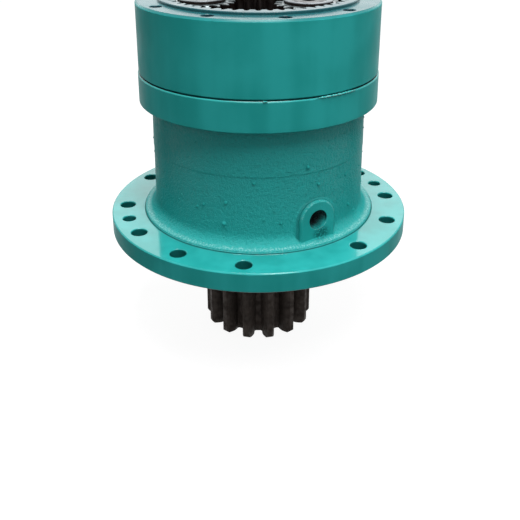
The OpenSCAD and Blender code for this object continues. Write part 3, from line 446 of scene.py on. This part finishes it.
# %% [markdown]
# ## Zones of the housing
# Masks could be painted by hand on the mesh. But the housing is a turned shape, where the radius
# and the height say nearly everything, so the masks are steps along these two.
# The housing is rough between flange and band, and level on the flange's top and the band's
# shoulder. Painted shade lies at the foot of the round pad, in the joint, in the flange's holes and
# under the band. The lumps on the neck and the bead in the joint wear the housing's enamel too, so
# their places get masks of their own: smooth on the lumps, pale specks of painted highlight on the
# bead.

# %% Zones of the housing
def neck_zones(tree, radius, height):
    """Rough casting on the neck, its fillet and the pad, and the sheen along the fillet."""
    casting = where_all(tree, inside(tree, height, flange_t + 0.4 * MM, band_z + 0.2 * MM),
                        below(tree, radius, pad_foot_r - 0.6 * MM, 0.6 * MM),
                        below(tree, radius, neck_r + 16.6 * MM, 0.6 * MM))
    along_fillet = inside(tree, radius, neck_r + 9 * MM, pad_r - 1 * MM, 3 * MM)
    return casting, where_all(tree, casting, along_fillet)


# Painted shade at the pad's foot, in the flange's holes, in the joint and under the band.
def housing_painted_shade(tree, radius, height):
    pad_foot_shade = where_all(
        tree, inside(tree, height, flange_t + 0.2 * MM, flange_t + 1.6 * MM, 0.5 * MM),
        ramp(tree, radius, pad_r + 0.4 * MM, pad_r + 1 * MM, 0.0, 0.6))
    hole_wall_shade = where_all(
        tree, inside(tree, radius, 178 * MM, 208 * MM, 2 * MM),
        inside(tree, height, 2 * MM, flange_t - 1.6 * MM, 1.4 * MM))
    joint_shade = where_all(tree, ramp(tree, height, seam_z - 0.9 * MM, seam_z - 0.2 * MM),
                      below(tree, radius, ring_r - 0.4 * MM, 0.6 * MM))
    under_band_shade = inside(tree, height, band_z - 12 * MM, band_z + 0.4 * MM, 8 * MM)
    return most(tree, pad_foot_shade, scaled(tree, hole_wall_shade, 0.75), joint_shade,
                scaled(tree, under_band_shade, 0.15))


def housing_zones(tree, place, radius, height):
    boss = boss_zones(tree, place, radius)
    hole = hole_zones(tree, place, radius)
    casting, sheen = neck_zones(tree, radius, height)
    on_lump = where_all(tree, ramp(tree, radius, neck_r + 0.4 * MM, neck_r + 1 * MM),
                        inside(tree, height, 52 * MM, 185 * MM, 4 * MM), boss["off_boss"])
    # The bead gets pale specks of painted highlight and more gloss.
    on_bead = where_all(tree, ramp(tree, radius, band_r + 0.2 * MM, band_r + 0.6 * MM),
                        inside(tree, height, seam_z - 3 * MM, seam_z + 3 * MM))
    smooth = most(tree, boss["on_boss"], scaled(tree, on_lump, 0.8))
    flange_top = inside(tree, height, flange_t - 0.8 * MM, flange_t + 0.4 * MM)
    shoulder_top = ramp(tree, height, seam_z - 2.6 * MM, seam_z - 1.2 * MM, 0.0, 0.5)
    bore = below(tree, radius, spigot_r, 0.6 * MM)
    seat = below(tree, height, 0.0, 0.6 * MM)
    return {
        "casting": where_all(tree, casting, ramp(tree, smooth, 0.0, 1.0, 1.0, 0.25)),
        "sheen": most(tree, sheen, boss["rim"], scaled(tree, on_bead, 0.8), hole["rim"]),
        "level": most(tree, flange_top, shoulder_top),
        # Painted shade of the housing, the boss's root shade and the darker patch under the port.
        "dirt_and_painted_shade": most(tree, housing_painted_shade(tree, radius, height), boss["dirt_and_painted_shade"]),
        "shoulder": inside(tree, height, seam_z - 5 * MM, seam_z - 1 * MM, 1 * MM),
        "bare": most(tree, bore, seat, hole["wall"]),
        "clean": most(tree, hole["clean"], seat),
    }


teal_casting = painted_iron("teal_casting", housing_zones, DIRT_SHADE_AND_PITS)
print("made", teal_casting.name, "with", len(teal_casting.node_tree.nodes), "nodes")

# %% [markdown]
# ## Zones of the ring gear
# The ring gear is painted outside, with an oily, bluish film on its top face where the cover sat.
# Its foot, its bolt holes and the wall of its register get painted shade. Inside it is bare iron,
# painted dark for oil and for the shade inside the ring, and only the ends of the teeth are wiped
# clean. It is all machined, so the masks that the casting needs are nowhere on it.

# %% Zones of the ring gear
def ring_zones(tree, place, radius, height):
    nowhere = scaled(tree, radius, 0.0)
    chamfer = ramp(tree, height, ring_top_z - 3.0 * MM, ring_top_z - 2.2 * MM, 0.0, 0.55)
    top_face = ramp(tree, height, ring_top_z - 0.6 * MM, ring_top_z - 0.1 * MM, 0.0, 0.85)
    # Painted shade in the bolt holes, at the register's wall and at the foot.
    hole_wall_shade = where_all(tree, inside(tree, radius, 139 * MM, 160 * MM, 1 * MM),
                           below(tree, height, ring_top_z - 0.4 * MM, 0.3 * MM))
    register_wall_shade = where_all(tree, below(tree, radius, register_r - 0.4 * MM, 1.6 * MM),
                              below(tree, height, register_z - 0.5 * MM, 0.3 * MM))
    foot_shade = ramp(tree, height, seam_z + 1 * MM, seam_z + 2 * MM, 0.8, 0.0)
    return {
        "casting": nowhere,
        "sheen": nowhere,
        "shoulder": nowhere,
        "level": ramp(tree, height, ring_top_z - 2.6 * MM, ring_top_z - 1.2 * MM, 0.0, 0.4),
        "dirt_and_painted_shade": most(tree, foot_shade, register_wall_shade, chamfer, top_face, hole_wall_shade),
        "bare": below(tree, radius, register_r - 1.6 * MM, 0.8 * MM),
        "clean": ramp(tree, height, register_z - 1.6 * MM, register_z - 0.3 * MM),
    }


teal_ring = painted_iron("teal_ring", ring_zones, RING_FILM_AND_SHADE)
print("made", teal_ring.name, "with", len(teal_ring.node_tree.nodes), "nodes")

# %% [markdown]
# ## Plain machined finishes
# Inside, every piece is steel, bronze or rubber. They share one recipe: a base colour that wanders
# between two tones, a roughness that wanders too, and a fine bump from the tool's marks. Each
# finish is that recipe with its own numbers. The gears stand in oil and deep in the gearbox's
# shade, so below a height they are dark, for the oil and as painted shade, and clean above it.

# %% Machined finishes
BELOW_ALL = -1.0
OIL_AND_SHADE_EDGE = 1.4 * MM


def machined(name, dark, light, metallic, rough, lit_and_clean_above=BELOW_ALL, clouds=45, marks=600,
             mark_depth=0.05 * MM, stretch=(1, 1, 1), gloss=0.5):
    """A finish that wanders between two tones. Below lit_and_clean_above it is dark with oil and
    painted shade.
    """
    material, tree, shader, place = start_material(name)
    stretched = add(tree, "ShaderNodeMapping", {"Vector": place, "Scale": stretch}).outputs[0]
    cloud = noise(tree, place, clouds, 4, 0.6)
    height = cylinder_place(tree, place)[1]
    # Dark below this height: oil, and painted shade inside the gearbox.
    clean = ramp(tree, height, lit_and_clean_above - OIL_AND_SHADE_EDGE, lit_and_clean_above)
    tone = blend(tree, ramp(tree, cloud, 0.3, 0.7), dark, light)
    tree.links.new(blend(tree, clean, OILED_AND_SHADED, tone), shader.inputs["Base Color"])
    shader.inputs["Metallic"].default_value = metallic
    shader.inputs["Specular IOR Level"].default_value = gloss
    wear = noise(tree, place, clouds * 2.3, 3)
    worn_rough = ramp(tree, wear, 0.3, 0.7, rough * 0.75, rough * 1.25)
    tree.links.new(worn_rough, shader.inputs["Roughness"])
    relief = noise(tree, stretched, marks, 2)
    tree.links.new(bump(tree, relief, mark_depth), shader.inputs["Normal"])
    return material


finishes = {
    "pinion_steel": machined("pinion_steel", rgb(46, 40, 36), rgb(68, 60, 55), 0.2, 0.68, clouds=60,
                             marks=420, mark_depth=0.2 * MM, stretch=(1, 1, 0.3), gloss=0.25),
    "gear_steel": machined("gear_steel", rgb(112, 122, 124), rgb(146, 156, 158), 0.6, 0.38,
                           planet_top_z),
    "bearing_steel": machined("bearing_steel", rgb(150, 156, 160), rgb(196, 200, 202), 1.0, 0.2),
    "forged_steel": machined("forged_steel", rgb(24, 18, 16), rgb(42, 34, 30), 0.6, 0.45),
    "spring_steel": machined("spring_steel", rgb(28, 28, 30), rgb(46, 46, 48), 0.5, 0.4),
    "cage_steel": machined("cage_steel", rgb(112, 108, 102), rgb(148, 144, 138), 1.0, 0.35),
    "bronze": machined("bronze", rgb(150, 112, 60), rgb(192, 150, 88), 1.0, 0.3),
    "seal_rubber": machined("seal_rubber", rgb(22, 22, 23), rgb(34, 34, 35), 0.0, 0.6, clouds=60,
                            marks=900, mark_depth=0.08 * MM),
    "retainer_iron": machined("retainer_iron", rgb(52, 52, 54), rgb(84, 84, 86), 0.8, 0.42),
    "teal_paint_casting": teal_casting,
    "teal_paint_ring": teal_ring,
}
print("finishes", len(finishes))

# %% [markdown]
# ## Put the finishes on
# The record says which finish each piece takes, so one loop dresses the whole assembly, and a
# piece that is added to the record later is dressed as well. Two pieces have a finish of their own:
# the cap washers stand higher than the planets and are clean on their top faces alone, with their
# sides dark for oil and painted shade, and the input sun, deep in the ring, is dark all over for
# oil and painted shade.

# %% Dress the assembly
own_finishes = {
    # The washers' sides are dark for oil and painted shade; only their tops are light.
    "planet_cap_washers": machined("cap_steel", rgb(88, 94, 98), rgb(118, 124, 128), 0.25, 0.42,
                                   washer_top_z, gloss=0.25),
    # The sun is dark all over, for oil and painted shade deep in the ring.
    "input_sun": machined("sun_steel", rgb(24, 18, 16), rgb(44, 38, 36), 0.5, 0.42),
}
for part in frame["record"]["subparts"]:
    piece = nodes[part["node"]]
    piece.data.materials.clear()
    piece.data.materials.append(own_finishes.get(part["node"], finishes[part["material_slot"]]))

# %% [markdown]
# ## From a bmesh to a piece
# Each new piece is modelled as a bmesh, which is Blender's editable mesh. When it is done it gets
# the finish of the part that it belongs to, smooth shading, and a body to ride on, so that it moves
# with that body when a joint turns.

# %% Finish a new piece
def make_piece(name, model, slot, body, smooth_angle=35):
    mesh = bpy.data.meshes.new(name)
    model.to_mesh(mesh)
    model.free()
    piece = bpy.data.objects.new(name, mesh)
    bpy.context.scene.collection.objects.link(piece)
    mesh.materials.append(finishes[slot])
    mesh.shade_smooth()
    mesh.set_sharp_from_angle(angle=math.radians(smooth_angle))
    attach(piece, body)
    print(name, "faces", len(mesh.polygons))


def turned(turn, radius, height):
    """The place at this turn from the front, counted towards +X."""
    return Vector((radius * math.sin(turn), -radius * math.cos(turn), height))


print("a place at the front:", [round(c, 3) for c in turned(0, neck_r, port_z)])

# %% [markdown]
# ## Thread in the oil port
# The port is tapped for a pipe plug. A thread is one ridge that climbs round the hole. It could be
# made of separate rings, but then it would show no lead at the mouth, so it is made as it is cut:
# the ridge's section is spun round the port's axis while it travels inwards.

# %% Port thread
THREAD_PITCH = 1.814 * MM
THREAD_CREST_R = 12.1 * MM
THREAD_ROOT_R = port_r + 0.1 * MM
THREAD_CREST_HALF = 0.12 * MM
THREAD_ROOT_HALF = 0.80 * MM
THREAD_DEPTH_OF_FIRST = 3.0 * MM
THREAD_TURNS = 11
THREAD_STEPS = 36

model = bmesh.new()
section = [
    model.verts.new((port_face - THREAD_DEPTH_OF_FIRST + offset, 0, radius))
    for offset, radius in (
        (-THREAD_ROOT_HALF, THREAD_ROOT_R), (-THREAD_CREST_HALF, THREAD_CREST_R),
        (THREAD_CREST_HALF, THREAD_CREST_R), (THREAD_ROOT_HALF, THREAD_ROOT_R),
    )
]
ridge = model.faces.new(section)
bmesh.ops.spin(
    model, geom=[ridge, *ridge.edges, *ridge.verts], cent=(0, 0, 0), axis=(1, 0, 0),
    dvec=(-THREAD_PITCH / THREAD_STEPS, 0, 0), angle=2 * math.pi * THREAD_TURNS,
    steps=THREAD_STEPS * THREAD_TURNS, use_merge=False, use_duplicate=False,
)
bmesh.ops.recalc_face_normals(model, faces=model.faces)
port_frame = Matrix.Translation((0, 0, port_z)) @ Matrix.Rotation(port_turn - math.pi / 2, 4, "Z")
bmesh.ops.transform(model, matrix=port_frame, verts=model.verts)
make_piece("port_thread", model, "teal_paint_casting", "housing")

# %% [markdown]
# ## Lumps in the casting
# Sand that breaks out of the mould leaves small lumps of iron on the neck, and the enamel covers
# them. A bump in the finish would show no outline against the light, so they are small balls sunk
# half into the neck. The ones that catch the eye are listed one by one, with their turn in degrees,
# height and size in millimetres. Smaller ones are scattered between them from a fixed seed, so the
# casting is the same each time.

# %% Casting lumps
SEEN_LUMPS = (
    (-47, 82, 1.6), (-35, 90, 1.8), (6, 136, 2.2), (-36, 60, 2.4), (-36, 40, 1.8), (12.5, 109, 1.8),
    (-21, 119, 1.5), (-7.5, 62, 1.6), (-51, 77, 1.5), (-11, 80, 1.2), (-16, 68, 1.2), (36, 61, 1.8),
    (43, 45, 1.4), (32, 108, 1.3),
)
SCATTERED_LUMPS = 90
SCATTERED_HEIGHTS = (60 * MM, 180 * MM)
SCATTERED_SIZES = (0.35, 0.85)
LUMP_SWELL = 1.4
LUMP_SHAPE = (1, 0.8, 1, 1)


def add_lump(model, turn, height, size):
    place = turned(turn, neck_r, height)
    shape = Matrix.Translation(place) @ Matrix.Rotation(turn, 4, "Z") @ Matrix.Diagonal(LUMP_SHAPE)
    bmesh.ops.create_icosphere(model, subdivisions=2, radius=LUMP_SWELL * size, matrix=shape)


model = bmesh.new()
for turn, height, size in SEEN_LUMPS:
    add_lump(model, math.radians(turn), height * MM, size * MM)
dice = random.Random(7)
for _ in range(SCATTERED_LUMPS):
    add_lump(model, turn=dice.uniform(-math.pi, math.pi), height=dice.uniform(*SCATTERED_HEIGHTS),
             size=dice.uniform(*SCATTERED_SIZES) * MM)
make_piece("casting_lumps", model, "teal_paint_casting", "housing")

# %% [markdown]
# ## Sealant in the joint
# A bead of sealant squeezed out between housing and ring gear before the enamel went on. It lies on
# the band's shoulder in four stretches, given by their turns in degrees. A round curve would be
# evenly thick, so a small round section is spun along the joint, and then each ring of it is
# swollen or shrunk a little. Two waves of different lengths keep the swelling from repeating.

# %% Sealant bead
BEAD_R = 1.6 * MM
BEAD_PLACE = band_r + 0.1 * MM
BEAD_Z = seam_z - 0.3 * MM
BEAD_STRETCHES = ((-17, -15), (5.5, 29), (96, 121), (-160, -139))
BEAD_SIDES = 10
BEAD_RINGS_PER_RADIAN = 260
BEAD_RINGS_AT_LEAST = 12
BEAD_WAVES = (190, 67)
BEAD_THINNEST = 0.05


def bead_size(turn, start, end):
    """Full in the middle of its stretch, ragged along the way and almost gone at both ends."""
    share = (turn - start) / (end - start)
    ragged = 0.75 + 0.25 * math.sin(turn * BEAD_WAVES[0]) * math.sin(turn * BEAD_WAVES[1] + 1)
    return max(BEAD_THINNEST, min(1, 6 * share, 6 * (1 - share)) * ragged)


model = bmesh.new()
upright = Matrix.Rotation(math.pi / 2, 4, "Y")
at_the_front = Matrix.Translation(turned(0, BEAD_PLACE, BEAD_Z))
for start, end in BEAD_STRETCHES:
    start, end = math.radians(start), math.radians(end)
    steps = max(BEAD_RINGS_AT_LEAST, int((end - start) * BEAD_RINGS_PER_RADIAN))
    ring = bmesh.ops.create_circle(model, cap_ends=False, segments=BEAD_SIDES, radius=BEAD_R,
                                   matrix=at_the_front @ upright)["verts"]
    edges = list({edge for vert in ring for edge in vert.link_edges})
    bmesh.ops.rotate(model, verts=ring, cent=(0, 0, 0), matrix=Matrix.Rotation(start, 3, "Z"))
    before = set(model.verts) - set(ring)
    bmesh.ops.spin(model, geom=[*ring, *edges], cent=(0, 0, 0), axis=(0, 0, 1), angle=end - start,
                   steps=steps, use_merge=False, use_duplicate=False)
    for vert in set(model.verts) - before:
        turn = math.atan2(vert.co.x, -vert.co.y)
        middle = turned(turn, BEAD_PLACE, BEAD_Z)
        vert.co = middle + (vert.co - middle) * bead_size(turn, start, end)
bmesh.ops.holes_fill(model, edges=[e for e in model.edges if e.is_boundary], sides=0)
bmesh.ops.recalc_face_normals(model, faces=model.faces)
make_piece("seam_sealant", model, "teal_paint_casting", "housing", smooth_angle=80)

# %% [markdown]
# ## Floor and surround
# A bright room would make the background white, but it would also wash out the enamel. So the Light
# Path node tells rays apart: the camera and every reflection see a white floor in a white room, and
# scattered light finds the same floor and room dimmer, so that the undersides stay dark. The room
# is a little brighter on the camera's right. The floor is lit a little by the lamps as well, and
# that part of it shows the shadow.

# %% Stage
ROOM_LIGHT = 0.335
ROOM_SLOPE = 0.42
FLOOR_GLOW = 0.93
FLOOR_LIT = 0.16
FLOOR_BOUNCE = 0.10
FLOOR_GAP = 0.2 * MM


def seen_directly(tree):
    """1 for rays from the camera and from mirrors or glass, 0 for scattered light."""
    path = add(tree, "ShaderNodeLightPath").outputs
    return most(tree, path["Is Camera Ray"], path["Is Glossy Ray"], path["Is Transmission Ray"])


def floor_paint():
    material = bpy.data.materials.new("floor_white")
    material.use_nodes = True
    tree = material.node_tree
    shader = tree.nodes["Principled BSDF"]
    seen = seen_directly(tree)
    bounce, lit = ((shade, shade, shade, 1) for shade in (FLOOR_BOUNCE, FLOOR_LIT))
    tree.links.new(blend(tree, seen, bounce, lit), shader.inputs["Base Color"])
    shader.inputs["Roughness"].default_value = 1.0
    shader.inputs["Specular IOR Level"].default_value = 0.0
    shader.inputs["Emission Color"].default_value = (1, 1, 1, 1)
    tree.links.new(scaled(tree, seen, FLOOR_GLOW), shader.inputs["Emission Strength"])
    return material


bpy.ops.mesh.primitive_plane_add(size=40, location=(0, 0, floor_z - FLOOR_GAP))
floor = bpy.context.object
floor.name = "floor"
floor.data.materials.append(floor_paint())

world = bpy.data.worlds.new("surround")
bpy.context.scene.world = world
world.use_nodes = True
tree = world.node_tree
background = tree.nodes["Background"]
background.inputs["Color"].default_value = (1, 1, 1, 1)
direction = add(tree, "ShaderNodeTexCoord").outputs["Generated"]
to_the_right = add(tree, "ShaderNodeVectorMath", {
    0: direction, 1: (math.cos(view_turn), math.sin(view_turn), 0),
}, operation="DOT_PRODUCT").outputs["Value"]
scattered = maths(tree, "ADD", scaled(tree, to_the_right, ROOM_LIGHT * ROOM_SLOPE), ROOM_LIGHT)
tree.links.new(mixed(tree, seen_directly(tree), scattered, 1.0), background.inputs["Strength"])
print("room light", ROOM_LIGHT)

# %% [markdown]
# ## Lamps
# The key lamp hangs high on the camera's right, so that the band throws a soft shadow on the neck.
# A second lamp almost straight above lights the flat tops and leaves the sides alone.
# A wide soft box stands low behind the reducer. It hardly lights it, but the flange's glossy top
# mirrors it to the camera on both sides of the neck.

# %% Lamps
LAMP_TARGET = Vector((0, 0, 0.12))


def lamp(name, turn, elevation, away, size, power):
    """An area lamp that looks at the reducer. The turn counts from the camera to its right."""
    data = bpy.data.lights.new(name, "AREA")
    data.shape = "RECTANGLE"
    data.size, data.size_y = size
    data.energy = power
    light = bpy.data.objects.new(name, data)
    turn, up = math.radians(turn), math.radians(elevation)
    light.location = turned(view_turn + turn, away * math.cos(up), away * math.sin(up))
    aim = LAMP_TARGET - light.location
    light.rotation_euler = aim.to_track_quat("-Z", "Y").to_euler()
    bpy.context.scene.collection.objects.link(light)


lamp("key", 20, 59, 2.6, (0.75, 0.75), 22)
lamp("overhead", 0, 82, 2.6, (1.2, 1.2), 65)
lamp("soft_box_behind", 180, 27, 3.0, (4.5, 1.1), 24)
